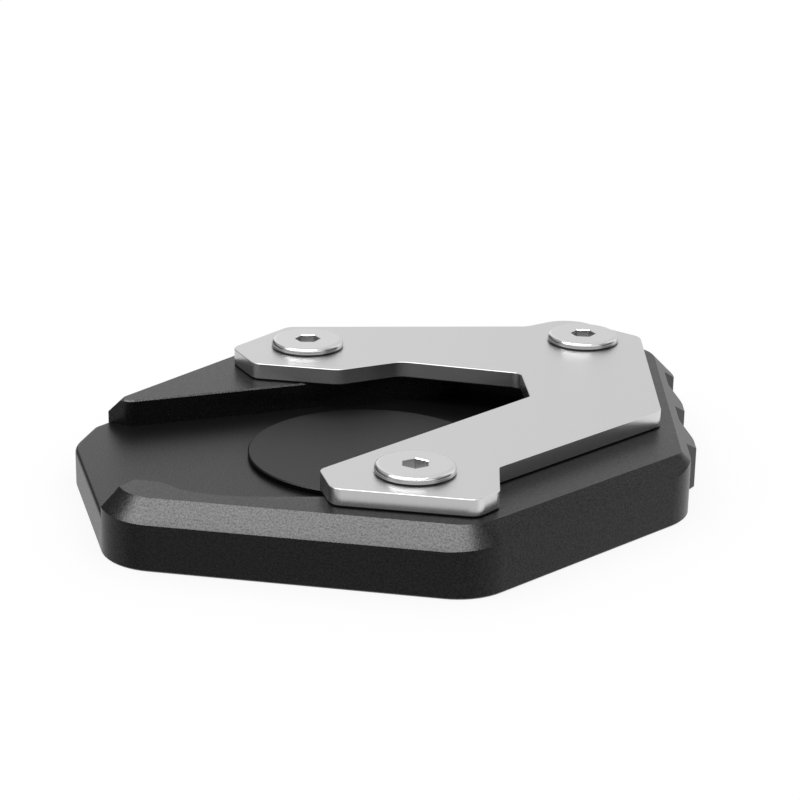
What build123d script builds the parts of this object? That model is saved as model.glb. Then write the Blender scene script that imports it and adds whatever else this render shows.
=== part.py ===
"""Enlarged foot for a motorbike's side stand.

A black base plate with a pocket for the stand's own foot, a round pad in the pocket, a fork-shaped
clamp plate over it and three flat-headed screws. Millimetres, +Z up, standing on z = 0.
The origin is the middle of the footprint's box. Plan points are measured from the pad's centre.
"""
import os
from math import acos, cos, degrees, radians, sin

from build123d import *

os.makedirs("parts", exist_ok=True)

# Heights above the ground
BASE_TOP = 11.0
FLOOR_Z = 6.3
PAD_T = 1.0
PLATE_T = 3.0
HEAD_T = 1.4

# Base plate's front, rear and left, and how far the flat top lies inside them
FRONT_Y = -41.6
REAR_Y = 65.0
LEFT_X = -49.3
FRONT_BEVEL = 3.25
REAR_BEVEL = 2.8
LEFT_BEVEL = 4.9
BEVEL_DROP = 4.6
STOCK = 200.0

# Pad and pocket: the pocket's right side is a tangent to its round end, the rear wall lies just outside one
PAD_R = 20.2
PAD_EDGE = 0.2
POCKET_GAP = 4.0
REAR_ANGLE = 30.7
REAR_OUT = 1.2
REAR_RUN = 34.9
REAR_ON = 30.0
SIDE_ANGLE = 80.0
SIDE_RUN = 38.0
NECK_X = 4.5

# Edge breaks
POCKET_EDGE = 0.25
FOOT_EDGE = 0.25
MOUTH_ROUND = 0.7
PLATE_EDGE = 0.08

# Screws: M6 with thin wide heads and a 4 mm hexagon socket
SCREW_AT = [(-17.9, 32.5), (30.5, 47.6), (12.5, -25.6)]
SOCKET_TURN = [12.0, 5.6, -20.0]
HEAD_R = 6.5
HEAD_ROUND = 0.85
FACE_T = 0.3
FACE_IN = 0.5
SHANK_R = 2.95
SHANK_L = 10.0
SHANK_TIP = 0.6
THREAD_GAP = 0.05
HOLE_GAP = 0.25
TIP_GAP = 2.0
SOCKET_AF = 4.0
SOCKET_DEPTH = 2.0
SOCKET_LIP = 0.1

# Right edge and its teeth, set out along the edge's line and out from it
EDGE_AT = (48.3, 23.2)
EDGE_ANGLE = 100.1
EDGE_FROM = -24.8
EDGE_TO = 30.9
EDGE_CORNER_R = 6.8
TOOTH_PITCH = 18.6
TOOTH_FLANK = 3.4
TOOTH_LAND = 4.6
TOOTH_OUT = 3.9
NOTCH_OUT = 1.7
TOOTH_FOOT_R = 0.8
TOOTH_TIP_R = 0.4
BACK_TIP_R = 3.0
BACK_FOOT_R = 2.0
LAST_LAND = 4.0
PLAIN_RUN = 6.0

# Sizes that follow from those above
SEAT_Z = BASE_TOP + PLATE_T
HEAD_Z = SEAT_Z + HEAD_T
POCKET_R = PAD_R + POCKET_GAP
TAPPED_R = SHANK_R + THREAD_GAP
TAPPED_DEPTH = SHANK_L - PLATE_T + TIP_GAP
CLEARANCE_R = SHANK_R + HOLE_GAP

# Slack for picking edges and faces by their height
SLACK = 0.01


def corners(outline):
    return [point for point, radius in outline]


def radii(outline):
    return [radius for point, radius in outline]


def on_edge(along, out):
    """A plan point by its distance along the right edge and out from it."""
    c = cos(radians(EDGE_ANGLE))
    s = sin(radians(EDGE_ANGLE))
    return (EDGE_AT[0] + along * c + out * s, EDGE_AT[1] + along * s - out * c)


def teeth():
    """Corners of the teeth, front to rear, as many as the edge has room for."""
    last = EDGE_TO - LAST_LAND - TOOTH_FLANK
    before = int((last - EDGE_FROM - PLAIN_RUN) / TOOTH_PITCH)
    outline = []
    for k in range(before, -1, -1):
        foot = last - k * TOOTH_PITCH
        outline.append((on_edge(foot, NOTCH_OUT), TOOTH_FOOT_R))
        outline.append((on_edge(foot + TOOTH_FLANK, TOOTH_OUT), TOOTH_TIP_R))
        if k > 0:
            back = foot + TOOTH_FLANK + TOOTH_LAND
            outline.append((on_edge(back, TOOTH_OUT), BACK_TIP_R))
            outline.append((on_edge(back + TOOTH_FLANK, NOTCH_OUT), BACK_FOOT_R))
    return outline


def tangent(angle, run, out=0.0):
    """A plan point on the pocket's round end, or some way out from it and along the tangent there."""
    c = cos(radians(angle))
    s = sin(radians(angle))
    r = POCKET_R + out
    return (r * c - run * s, r * s + run * c)


# Outline of the upright wall, corner by corner, each with its radius
wall = [
    ((LEFT_X, -7.0), 11.0),
    ((-32.6, FRONT_Y), 10.0),
    ((25.2, FRONT_Y), 10.0),
    (on_edge(EDGE_FROM, NOTCH_OUT), 11.0),
    *teeth(),
    (on_edge(EDGE_TO, TOOTH_OUT), min(EDGE_CORNER_R, 1.9 * LAST_LAND)),
    ((28.2, REAR_Y), 10.0),
    ((-26.9, 46.6), 8.0),
    ((LEFT_X + 0.5, 2.9), 2.0),
]

# Outline of the flat top inside the bevel
land = [
    ((LEFT_X + LEFT_BEVEL, 6.1), 1.5),
    ((LEFT_X + LEFT_BEVEL, -9.7), 2.0),
    ((-30.8, FRONT_Y + FRONT_BEVEL), 7.0),
    ((24.2, FRONT_Y + FRONT_BEVEL), 7.0),
    ((52.2, 0.6), 2.5),
    ((43.1, 53.3), 7.0),
    ((27.7, REAR_Y - REAR_BEVEL), 7.0),
    ((-26.0, 44.2), 6.0),
]

# Outline of the pocket outside its round end, from the right side by the rear and the mouth to the front
neck = degrees(acos(NECK_X / POCKET_R))
pocket = [
    (tangent(SIDE_ANGLE - 90, 0), 0.0),
    (tangent(SIDE_ANGLE - 90, SIDE_RUN), 6.0),
    (tangent(REAR_ANGLE + 90, -REAR_ON, REAR_OUT), 8.0),
    (tangent(REAR_ANGLE + 90, REAR_RUN, REAR_OUT), 2.2),
    ((-60.0, 11.8), 0.0),
    ((-60.0, -40.0), 0.0),
    ((-42.0, -40.0), 0.0),
    ((-32.7, -34.8), 2.5),
    ((-31.3, -31.0), 1.2),
    ((-26.6, -31.3), 5.0),
    ((-22.2, -34.0), 5.0),
    ((-15.5, -35.0), 25.0),
    ((NECK_X, -30.3), 4.0),
    (tangent(-neck, 0), 0.0),
]

# Outline of the clamp plate
plate = [
    ((-24.9, 20.3), 2.5),
    ((-9.4, 20.3), 4.0),
    ((0.3, 27.5), 4.0),
    ((22.0, 26.0), 2.0),
    ((25.2, 14.1), 1.0),
    ((-2.3, -28.1), 2.0),
    ((1.2, -35.5), 2.5),
    ((24.0, -35.3), 2.5),
    ((26.6, -30.8), 2.0),
    ((25.0, -20.6), 0.8),
    ((47.8, 11.9), 2.5),
    ((40.7, 52.3), 3.0),
    ((26.1, 60.7), 6.0),
    ((19.3, 53.7), 4.0),
    ((-24.0, 42.8), 2.5),
    ((-30.9, 28.2), 3.0),
]


# The pad's centre lies where it brings the middle of the footprint's box to the origin
with BuildSketch() as footprint:
    with BuildLine():
        FilletPolyline(*corners(wall), radius=radii(wall), close=True)
    make_face()
middle = footprint.sketch.bounding_box().center()
PAD_X = -middle.X
PAD_Y = -middle.Y


def level(z):
    """A plan at a height, with its origin over the pad's centre."""
    return Plane((PAD_X, PAD_Y, z))


def over_screws(z):
    """The screws' places at a height."""
    return [(x + PAD_X, y + PAD_Y, z) for x, y in SCREW_AT]


def at_height(edges, z):
    return edges.filter_by_position(Axis.Z, z - SLACK, z + SLACK)


def pocket_sides():
    """The upright faces that stand on the pocket's floor."""
    faces = base_plate.faces().filter_by(lambda f: abs(f.bounding_box().min.Z - FLOOR_Z) < SLACK)
    return faces.filter_by(lambda f: f.bounding_box().size.Z > PAD_T)


# Base plate: upright walls cut off by the bevel, then the pocket and the tapped holes
with BuildPart() as base_plate:
    with BuildSketch(level(0)):
        with BuildLine():
            FilletPolyline(*corners(wall), radius=radii(wall), close=True)
        make_face()
    extrude(amount=BASE_TOP)
    with BuildSketch(level(BASE_TOP)):
        with BuildLine():
            FilletPolyline(*corners(land), radius=radii(land), close=True)
        make_face()
    bevel = extrude(amount=-BEVEL_DROP, taper=-45, mode=Mode.PRIVATE)
    with BuildSketch(Plane.XY):
        Rectangle(STOCK, STOCK)
    under = extrude(amount=BASE_TOP - BEVEL_DROP, mode=Mode.PRIVATE)
    add(bevel + under, mode=Mode.INTERSECT)
    chamfer(base_plate.faces().sort_by(Axis.Z)[0].edges(), FOOT_EDGE)
    with BuildSketch(level(FLOOR_Z)):
        with BuildLine():
            FilletPolyline(*corners(pocket), radius=radii(pocket)[1:-1])
            CenterArc((0, 0), POCKET_R, -neck, neck + SIDE_ANGLE - 90)
        make_face()
    extrude(amount=BASE_TOP, mode=Mode.SUBTRACT)
    chamfer(at_height(pocket_sides().edges(), BASE_TOP), POCKET_EDGE)
    outside = base_plate.faces().filter_by(lambda f: f.bounding_box().min.Z < FLOOR_Z - SLACK)
    fillet(at_height(outside.edges(), FLOOR_Z), MOUTH_ROUND)
    with Locations(*over_screws(BASE_TOP)):
        Hole(TAPPED_R, depth=TAPPED_DEPTH)
base_plate.part.label = "base_plate"
export_step(base_plate.part, "parts/base_plate.step")

# Pad: a plain disc on the pocket's floor
with BuildPart() as foot_pad:
    with BuildSketch(level(FLOOR_Z)):
        Circle(PAD_R)
    extrude(amount=PAD_T)
    chamfer(foot_pad.edges().sort_by(Axis.Z)[-1], PAD_EDGE)
foot_pad.part.label = "foot_pad"
export_step(foot_pad.part, "parts/foot_pad.step")

# Clamp plate: flat fork with broken edges and three clearance holes
with BuildPart() as clamp_plate:
    with BuildSketch(level(BASE_TOP)):
        with BuildLine():
            FilletPolyline(*corners(plate), radius=radii(plate), close=True)
        make_face()
    extrude(amount=PLATE_T)
    chamfer(clamp_plate.faces().filter_by(Axis.Z).edges(), PLATE_EDGE)
    with Locations(*over_screws(SEAT_Z)):
        Hole(CLEARANCE_R, depth=PLATE_T)
clamp_plate.part.label = "clamp_plate"
export_step(clamp_plate.part, "parts/clamp_plate.step")

# Screws: thin round heads on washer faces, with rounded rims, plain shanks and hexagon sockets
with BuildPart() as clamp_screws:
    for seat in over_screws(SEAT_Z):
        with BuildSketch(Plane(seat)):
            Circle(HEAD_R - FACE_IN)
        extrude(amount=HEAD_T)
        with BuildSketch(Plane(seat).offset(FACE_T)):
            Circle(HEAD_R)
        extrude(amount=HEAD_T - FACE_T)
        with BuildSketch(Plane(seat)):
            Circle(SHANK_R)
        extrude(amount=-SHANK_L)
    fillet(at_height(clamp_screws.edges(), HEAD_Z), HEAD_ROUND)
    chamfer(clamp_screws.edges().group_by(Axis.Z)[0], SHANK_TIP)
    for top, turn in zip(over_screws(HEAD_Z), SOCKET_TURN):
        with BuildSketch(Plane(top)):
            RegularPolygon(SOCKET_AF / 2, 6, major_radius=False, rotation=turn)
        extrude(amount=-SOCKET_DEPTH, mode=Mode.SUBTRACT)
    chamfer(at_height(clamp_screws.edges().filter_by(GeomType.LINE), HEAD_Z), SOCKET_LIP)
clamp_screws.part.label = "clamp_screws"
export_step(clamp_screws.part, "parts/clamp_screws.step")
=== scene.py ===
"""Looks of the side stand's foot enlarger: materials, stage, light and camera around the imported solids.

Lengths are metres, in the solids' own frame: +Z up, standing on z = 0. Greys are linear, and 1 is white.
"""
from math import pi, radians

import bpy
from mathutils import Matrix, Vector


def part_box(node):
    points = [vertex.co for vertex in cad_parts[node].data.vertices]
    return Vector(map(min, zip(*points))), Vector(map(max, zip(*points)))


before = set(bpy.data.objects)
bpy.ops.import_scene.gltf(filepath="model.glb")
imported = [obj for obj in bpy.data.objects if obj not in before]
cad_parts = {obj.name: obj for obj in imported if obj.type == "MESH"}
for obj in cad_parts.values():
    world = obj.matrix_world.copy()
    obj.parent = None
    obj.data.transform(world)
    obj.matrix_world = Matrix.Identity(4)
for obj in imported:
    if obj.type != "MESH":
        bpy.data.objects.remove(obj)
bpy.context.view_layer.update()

MM = 0.001

# Camera: where the photograph was taken from, with its turns in degrees and its focal length in pixels
CAMERA_AT = Vector((67.12, -364.825, 141.92)) * MM
CAMERA_HEADING = 10.3
CAMERA_DOWN = 19.239
CAMERA_ROLL = 1.045
CLIP_START = 10 * MM
FOCAL_PX = 2291.9
IMAGE_PX = 800
SENSOR_MM = 36.0

# Floor: its size, its gap under the part, its grey, and how far and how strongly it glows where it is seen
FLOOR_SIZE = 8.0
FLOOR_GAP = 0.05 * MM
FLOOR_GREY = 0.9
FLOOR_GLOW = 0.82
GLOW_STRENGTH = 1.05

# Softbox: its place, its size, and how bright it is to most pieces and to the plate
KEY_AT = Vector((-0.305, -0.35, 0.9))
KEY_WIDTH = 1.33
KEY_DEPTH = 0.42
KEY_RADIANCE = 12.4
KEY_ON_PLATE = 2.6

# Room: the even light on matt surfaces, and how bright its parts look in gloss
ROOM_FILL = 0.9
WALL_BACK = 1.0
WALL_MIDDLE = 0.94
WALL_LEFT = 1.18
WALL_RIGHT = 1.15
WALL_SIDE_LOW = 0.1
WALL_SIDE_HIGH = 0.5
WALL_FRONT = 0.52
LAMP_FRONT = 1.7
GROUND_RIGHT = 0.98
GROUND_LEFT = 0.74
GROUND_FRONT = 0.72
GROUND_BACK = 0.8

# Where those parts begin and where they are whole, by the direction from the part: x right, y back, z up
HORIZON_Z = (-0.04, 0.04)
BACK_Y = (0.14, 0.36)
BACK_FROM_LEFT_X = (-0.62, -0.45)
BACK_FROM_RIGHT_X = (0.88, 0.74)
MIDDLE_X = (-0.2, -0.08)
LEFT_X = (-0.26, -0.32)
RIGHT_X = (0.4, 0.6)
CEILING_Y = (-0.5, -0.3)
CEILING_Z = (0.74, 0.84)
SIDE_Z = (0.26, 0.55)
FRONT_Y = (-0.2, -0.45)
FRONT_FROM_TOP_Z = (0.72, 0.64)
LAMP_Z = (0.4, 0.48)
GROUND_RIGHT_X = (0.3, 0.8)
GROUND_LEFT_X = (-0.3, -0.5)
GROUND_FRONT_Y = (-0.3, -0.7)
GROUND_BACK_Y = (0.8, 0.95)

# How far up a face looks, by its normal's z: a sloped face and one that counts as level
LEVEL = (0.5, 0.9)

# Base: sizes of its grain and clouding, then its finish, with ranges over the clouding or the grain
BASE_GRAIN = 0.3 * MM
BASE_CLOUD = 6 * MM
BASE_BUMP = 0.02 * MM
BASE_GREY = (0.002, 0.003)
BASE_IOR = 1.33
BASE_SPECULAR = (0.33, 0.67)
BASE_ROUGHNESS = (0.23, 0.33)
LEVEL_ROUGHNESS = 0.36
LEVEL_GLOSS = 1.6
POCKET_GLOSS = 0.7

# Pocket: a level face of the base below this height is its floor
POCKET_BELOW = 8 * MM
POCKET_BLEND = 1 * MM

# Disc: sizes of its grain and clouding, then its finish, which is duller on the side and darkened there as
# painted shade
PAD_GRAIN = 0.25 * MM
PAD_CLOUD = 5 * MM
PAD_BUMP = 0.006 * MM
PAD_GREY = (0.004, 0.006)
# Painted shade: the disc's upright side is coloured near black
PAD_SIDE_SHADE_GREY = 0.001
PAD_IOR = 1.34
PAD_SPECULAR = 0.5
PAD_SIDE_SPECULAR = 0.15
PAD_ROUGHNESS = (0.42, 0.48)

# Plate: size of its grain, then its finish, with smoother sides whose grey is raised as painted light, and
# a painted shadow up to a line at their foot
PLATE_GRAIN = 0.12 * MM
PLATE_BUMP = 0.003 * MM
PLATE_GREY = 0.59
# Painted light: the plate's sides are given a lighter grey than its top
PLATE_SIDE_LIT_GREY = 0.68
# Painted shadow: the plate is coloured near black below a line just over its foot
PLATE_FOOT_SHADOW_GREY = 0.03
PLATE_ROUGHNESS = (0.32, 0.38)
PLATE_SIDE_ROUGHNESS = 0.24
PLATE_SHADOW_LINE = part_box("clamp_plate")[0].z + 0.3 * MM
PLATE_SHADOW_LINE_BLEND = 0.1 * MM

# Screws: size of their rubbing marks, the finish of rims, tops and sockets, painted shade on washer faces
# and a little in sockets, and their axes
RUB_SIZE = 0.5 * MM
RUB_BUMP = 0.004 * MM
HEAD_GREY = 0.6
RIM_ROUGHNESS = (0.03, 0.07)
TOP_ROUGHNESS = 0.24
# Painted shade: the screws are coloured near black below a height just over the plate, under the heads
WASHER_SHADE_GREY = 0.05
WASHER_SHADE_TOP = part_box("clamp_plate")[1].z + 0.3 * MM
WASHER_SHADE_BLEND = 0.05 * MM
# Partly painted shade: the sockets' inside is a little darker than the heads
SOCKET_SHADE_GREY = 0.5
SOCKET_ROUGHNESS = 0.3
SOCKET_R = 2.5 * MM
SOCKET_R_BLEND = 0.05 * MM
SOCKET_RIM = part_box("clamp_screws")[1].z - 0.12 * MM
SOCKET_RIM_BLEND = 0.02 * MM
SCREW_AT = [Vector((-20.28, 21.255)) * MM, Vector((28.12, 36.355)) * MM, Vector((10.12, -36.845)) * MM]


def new_tree(name):
    """An empty node material and its tree."""
    material = bpy.data.materials.new(name)
    material.use_nodes = True
    material.node_tree.nodes.clear()
    return material, material.node_tree


def add(tree, kind, inputs=(), **settings):
    """Adds a node, sets its properties, and sets or links its inputs by name or number."""
    node = tree.nodes.new("ShaderNode" + kind)
    for key, value in settings.items():
        setattr(node, key, value)
    for key, value in dict(inputs).items():
        if isinstance(value, bpy.types.NodeSocket):
            tree.links.new(value, node.inputs[key])
        else:
            node.inputs[key].default_value = value
    return node


def grey(value):
    return (value, value, value, 1.0)


def both(tree, first, second):
    """The product of two values."""
    return add(tree, "Math", {0: first, 1: second}, operation="MULTIPLY").outputs[0]


def either(tree, first, second):
    """The larger of two values."""
    return add(tree, "Math", {0: first, 1: second}, operation="MAXIMUM").outputs[0]


def mix(tree, factor, first, second):
    """A value that runs with a factor from one value to another."""
    return add(tree, "Mix", {0: factor, 2: first, 3: second}).outputs[0]


def shade(tree, factor, first, second):
    """A grey that runs with a factor from one grey, given as a number or a socket, to another."""
    ends = [end if isinstance(end, bpy.types.NodeSocket) else grey(end) for end in (first, second)]
    return add(tree, "Mix", {0: factor, 6: ends[0], 7: ends[1]}, data_type="RGBA").outputs[2]


def spread(tree, value, low, high, start=0.3, end=0.7):
    """Maps a range of a value, or the middle of a noise's range, to another range."""
    values = {"Value": value, "From Min": start, "From Max": end, "To Min": low, "To Max": high}
    return add(tree, "MapRange", values).outputs["Result"]


def rise(tree, value, start, end):
    """0 at the start and short of it, 1 at the end and past it. The end may lie on either side."""
    return spread(tree, value, 0, 1, start, end)


def place(tree):
    """The point that is shaded, in the part's frame."""
    return add(tree, "TexCoord").outputs["Object"]


def noise(tree, size, detail):
    """Noise in the part's frame whose features are about that size."""
    inputs = {"Vector": place(tree), "Scale": 1 / size, "Detail": detail}
    return add(tree, "TexNoise", inputs).outputs["Fac"]


def facing_up(tree):
    """1 on level faces, 0 on steep and upright ones."""
    normal = add(tree, "NewGeometry").outputs["True Normal"]
    return rise(tree, add(tree, "SeparateXYZ", {0: normal}).outputs["Z"], *LEVEL)


def above(tree, height, blend):
    """1 above a height in the part's frame, 0 below it, with a blend that wide between them."""
    z = add(tree, "SeparateXYZ", {0: place(tree)}).outputs["Z"]
    return rise(tree, z, height - blend / 2, height + blend / 2)


def below(tree, height, blend):
    """1 below a height in the part's frame, 0 above it, with a blend that wide between them."""
    return mix(tree, above(tree, height, blend), 1.0, 0.0)


def near_screws(tree, reach, blend):
    """1 within a reach of a screw's axis, 0 further out."""
    flatten = {0: place(tree), 1: (1.0, 1.0, 0.0)}
    plan = add(tree, "VectorMath", flatten, operation="MULTIPLY").outputs["Vector"]
    near = reach + blend
    for at in SCREW_AT:
        apart = add(tree, "VectorMath", {0: plan, 1: at.to_3d()}, operation="DISTANCE").outputs["Value"]
        near = add(tree, "Math", {0: near, 1: apart}, operation="MINIMUM").outputs[0]
    return rise(tree, near, reach + blend / 2, reach - blend / 2)


def bump(tree, height, depth, strength):
    inputs = {"Height": height, "Distance": depth, "Strength": strength}
    return add(tree, "Bump", inputs).outputs["Normal"]


def surface(tree, shader):
    add(tree, "OutputMaterial", {"Surface": shader})


def principled(material, inputs):
    """The material with one principled shader that has these inputs."""
    tree = material.node_tree
    surface(tree, add(tree, "BsdfPrincipled", inputs).outputs["BSDF"])
    return material


def black_anodised():
    """Bead-blasted aluminium, anodised black: satin with a fine even grain, glossier on level faces."""
    material, tree = new_tree("black_anodised")
    grain = noise(tree, BASE_GRAIN, detail=1.0)
    cloud = noise(tree, BASE_CLOUD, detail=3.0)
    level = facing_up(tree)
    pocket = both(tree, level, below(tree, POCKET_BELOW, POCKET_BLEND))
    gloss = both(tree, mix(tree, level, 1.0, LEVEL_GLOSS), mix(tree, pocket, 1.0, POCKET_GLOSS))
    return principled(material, {
        "Base Color": shade(tree, cloud, *BASE_GREY),
        "Roughness": mix(tree, level, spread(tree, grain, *BASE_ROUGHNESS), LEVEL_ROUGHNESS),
        "IOR": BASE_IOR,
        "Specular IOR Level": both(tree, spread(tree, grain, *BASE_SPECULAR), gloss),
        "Normal": bump(tree, grain, BASE_BUMP, strength=0.6),
    })


def pad_rubber():
    """Matt black sheet rubber with a faint fine texture and a duller side, darkened as painted shade."""
    material, tree = new_tree("pad_rubber")
    grain = noise(tree, PAD_GRAIN, detail=3.0)
    cloud = noise(tree, PAD_CLOUD, detail=2.0)
    top = facing_up(tree)
    return principled(material, {
        # Painted shade: the upright side is coloured near black
        "Base Color": shade(tree, top, PAD_SIDE_SHADE_GREY, shade(tree, cloud, *PAD_GREY)),
        "Roughness": spread(tree, grain, *PAD_ROUGHNESS),
        "IOR": PAD_IOR,
        "Specular IOR Level": mix(tree, top, PAD_SIDE_SPECULAR, PAD_SPECULAR),
        "Normal": bump(tree, grain, PAD_BUMP, strength=0.4),
    })


def silver_anodised():
    """Fine matt silver aluminium with smoother sides, lightened as painted light, and a painted shadow line
    at its foot.
    """
    material, tree = new_tree("silver_anodised")
    grain = noise(tree, PLATE_GRAIN, detail=1.0)
    top = facing_up(tree)
    # Painted shadow below the line at the foot, and painted light on the sides
    clear = above(tree, PLATE_SHADOW_LINE, PLATE_SHADOW_LINE_BLEND)
    return principled(material, {
        "Base Color": shade(tree, clear, PLATE_FOOT_SHADOW_GREY, shade(tree, top, PLATE_SIDE_LIT_GREY, PLATE_GREY)),
        "Metallic": 1.0,
        "Roughness": mix(tree, top, PLATE_SIDE_ROUGHNESS, spread(tree, grain, *PLATE_ROUGHNESS)),
        "Normal": bump(tree, grain, PLATE_BUMP, strength=0.3),
    })


def bright_screw():
    """Bright steel with polished rims, satin tops and rougher sockets, faintly rubbed, with painted shade
    on the washer faces under the heads and a little in the sockets.
    """
    material, tree = new_tree("bright_screw")
    rub = noise(tree, RUB_SIZE, detail=4.0)
    within = near_screws(tree, SOCKET_R, SOCKET_R_BLEND)
    socket = both(tree, within, below(tree, SOCKET_RIM, SOCKET_RIM_BLEND))
    # Painted shade: near black under the heads, and a little darker in the sockets
    outside = shade(tree, above(tree, WASHER_SHADE_TOP, WASHER_SHADE_BLEND), WASHER_SHADE_GREY, HEAD_GREY)
    polish = mix(tree, facing_up(tree), spread(tree, rub, *RIM_ROUGHNESS), TOP_ROUGHNESS)
    return principled(material, {
        "Base Color": shade(tree, socket, outside, SOCKET_SHADE_GREY),
        "Metallic": 1.0,
        "Roughness": mix(tree, socket, polish, SOCKET_ROUGHNESS),
        "Normal": bump(tree, rub, RUB_BUMP, strength=0.15),
    })


def seen(tree):
    """1 for rays that show a thing, straight, in gloss or through glass, and 0 for rays that light."""
    path = add(tree, "LightPath").outputs
    shown = either(tree, path["Is Camera Ray"], path["Is Glossy Ray"])
    return either(tree, shown, path["Is Transmission Ray"])


def make_floor():
    """A wide white floor just under the part. It glows where it is seen, so the shadow on it is faint.

    Gloss shows the room's ground in its place.
    """
    half = FLOOR_SIZE / 2
    corners = [(-half, -half), (half, -half), (half, half), (-half, half)]
    mesh = bpy.data.meshes.new("floor")
    mesh.from_pydata([(x, y, -FLOOR_GAP) for x, y in corners], [], [(0, 1, 2, 3)])
    floor = bpy.data.objects.new("floor", mesh)
    bpy.context.collection.objects.link(floor)
    material, tree = new_tree("white_floor")
    matt = add(tree, "BsdfDiffuse", {"Color": grey(FLOOR_GREY)}).outputs["BSDF"]
    glow = add(tree, "Emission", {"Color": grey(1.0), "Strength": GLOW_STRENGTH}).outputs["Emission"]
    share = both(tree, seen(tree), FLOOR_GLOW)
    surface(tree, add(tree, "MixShader", {0: share, 1: matt, 2: glow}).outputs["Shader"])
    mesh.materials.append(material)
    floor.visible_glossy = False


def room_walls(tree, x, y, z):
    """How bright the room is over the ground: pale behind and above, dark at the sides, a lamp in front."""
    back = both(tree, rise(tree, x, *BACK_FROM_LEFT_X), rise(tree, x, *BACK_FROM_RIGHT_X))
    back = both(tree, back, rise(tree, y, *BACK_Y))
    ceiling = both(tree, rise(tree, y, *CEILING_Y), rise(tree, z, *CEILING_Z))
    front = both(tree, rise(tree, y, *FRONT_Y), rise(tree, z, *FRONT_FROM_TOP_Z))
    lamp = both(tree, front, rise(tree, z, *LAMP_Z))
    pale = WALL_BACK
    for ramp, level in ((MIDDLE_X, WALL_MIDDLE), (LEFT_X, WALL_LEFT), (RIGHT_X, WALL_RIGHT)):
        pale = mix(tree, rise(tree, x, *ramp), pale, level)
    side = mix(tree, rise(tree, z, *SIDE_Z), WALL_SIDE_LOW, WALL_SIDE_HIGH)
    walls = mix(tree, either(tree, back, ceiling), side, pale)
    walls = mix(tree, front, walls, WALL_FRONT)
    return mix(tree, lamp, walls, LAMP_FRONT)


def room_ground(tree, x, y):
    """How bright the ground is: white in the middle and darker towards each side."""
    ground = 1.0
    for along, ramp, level in (
        (x, GROUND_RIGHT_X, GROUND_RIGHT),
        (x, GROUND_LEFT_X, GROUND_LEFT),
        (y, GROUND_FRONT_Y, GROUND_FRONT),
        (y, GROUND_BACK_Y, GROUND_BACK),
    ):
        ground = both(tree, ground, mix(tree, rise(tree, along, *ramp), 1.0, level))
    return ground


def make_world():
    """A studio that gloss shows, an even light on matt surfaces, and plain white for the camera."""
    world = bpy.data.worlds.new("studio")
    world.use_nodes = True
    tree = world.node_tree
    tree.nodes.clear()
    towards = add(tree, "TexCoord").outputs["Generated"]
    x, y, z = add(tree, "SeparateXYZ", {0: towards}).outputs
    room = mix(tree, rise(tree, z, *HORIZON_Z), room_ground(tree, x, y), room_walls(tree, x, y, z))
    strength = mix(tree, seen(tree), ROOM_FILL, room)
    strength = mix(tree, add(tree, "LightPath").outputs["Is Camera Ray"], strength, 1.0)
    sky = add(tree, "Background", {"Color": grey(1.0), "Strength": strength}).outputs["Background"]
    add(tree, "OutputWorld", {"Surface": sky})
    bpy.context.scene.world = world


def make_key(name, radiance, nodes):
    """A wide softbox overhead, a little to the front and left, that only the named pieces' gloss shows."""
    light = bpy.data.lights.new(name, "AREA")
    light.shape = "RECTANGLE"
    light.size = KEY_WIDTH
    light.size_y = KEY_DEPTH
    light.energy = radiance * pi * KEY_WIDTH * KEY_DEPTH
    lamp = bpy.data.objects.new(name, light)
    lamp.location = KEY_AT
    lamp.visible_diffuse = False
    bpy.context.collection.objects.link(lamp)
    lit = bpy.data.collections.new(name)
    for node in nodes:
        lit.objects.link(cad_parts[node])
    lamp.light_linking.receiver_collection = lit


def make_camera():
    """The photograph's camera."""
    data = bpy.data.cameras.new("camera")
    data.sensor_width = SENSOR_MM
    data.lens = FOCAL_PX / IMAGE_PX * SENSOR_MM
    data.clip_start = CLIP_START
    camera = bpy.data.objects.new("camera", data)
    heading = Matrix.Rotation(radians(CAMERA_HEADING), 4, "Z")
    down = Matrix.Rotation(radians(90 - CAMERA_DOWN), 4, "X")
    roll = Matrix.Rotation(radians(CAMERA_ROLL), 4, "Z")
    camera.matrix_world = Matrix.Translation(CAMERA_AT) @ heading @ down @ roll
    bpy.context.collection.objects.link(camera)
    bpy.context.scene.camera = camera


FINISHES = {
    "base_plate": black_anodised,
    "foot_pad": pad_rubber,
    "clamp_plate": silver_anodised,
    "clamp_screws": bright_screw,
}
for node, finish in FINISHES.items():
    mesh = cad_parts[node].data
    mesh.materials.clear()
    mesh.materials.append(finish())

make_floor()
make_world()
make_key("softbox", KEY_RADIANCE, ["base_plate", "foot_pad", "clamp_screws"])
make_key("dimmed_softbox", KEY_ON_PLATE, ["clamp_plate"])
make_camera()
bpy.context.scene.view_settings.view_transform = "Standard"
